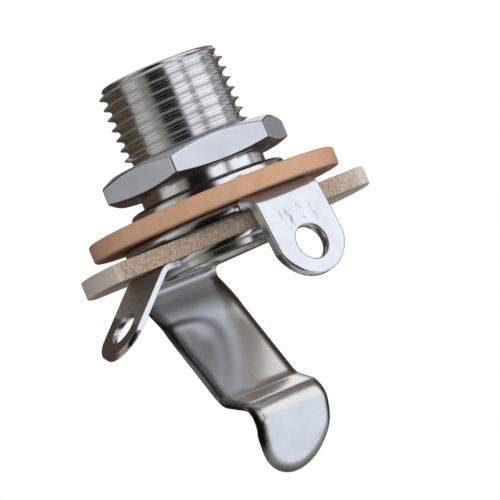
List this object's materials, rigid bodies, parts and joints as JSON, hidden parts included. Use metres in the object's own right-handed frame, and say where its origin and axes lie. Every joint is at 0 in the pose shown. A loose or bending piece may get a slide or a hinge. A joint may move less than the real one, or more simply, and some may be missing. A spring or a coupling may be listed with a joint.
{
  "type": "quarter inch phone jack",
  "caption": "Open-frame panel jack for a quarter inch mono plug: threaded bushing and hex nut, insulating wafers, solder lugs and a bent tip spring.",
  "frame": {"origin": "on the bushing's axis, on the flange face that seats against the panel", "axes": "+Z along the bore, out of the mouth; the sleeve lug faces -Y, the tip lug faces -X and the spring arm hangs at +Y"},
  "size_m": [0.0242, 0.019, 0.0307],
  "materials": {
    "bright_nickel": "bright nickel plate on turned brass",
    "satin_nickel": "satin nickel plate with fine scratches",
    "smooth_fibre": "smooth tan insulating fibre",
    "rough_fibre": "rough sheared tan insulating board",
    "dark_fibre": "dark brown insulating fibre",
    "terminal_metal": "satin tin plate on stamped brass",
    "spring_metal": "satin nickel plate on spring bronze"
  },
  "bodies": {
    "stack": {"bushing": "bright_nickel", "upper_wafer": "smooth_fibre", "sleeve_terminal": "terminal_metal", "lower_wafer": "rough_fibre", "insulating_collar": "dark_fibre", "tip_terminal": "terminal_metal"},
    "nut": {"hex_nut": "satin_nickel"},
    "spring": {"tip_spring": "spring_metal"}
  },
  "joints": [
    {"name": "nut_travel", "type": "slide", "parent": "stack", "child": "nut", "axis": [0, 0, 1], "range_m": [-0.0008, 0.0063]},
    {"name": "spring_flex", "type": "hinge", "parent": "stack", "child": "spring", "pos_m": [0, 0.0067, -0.00498], "axis": [1, 0, 0], "range_deg": [0, 14], "stiffness_Nm_per_rad": 0.3}
  ]
}
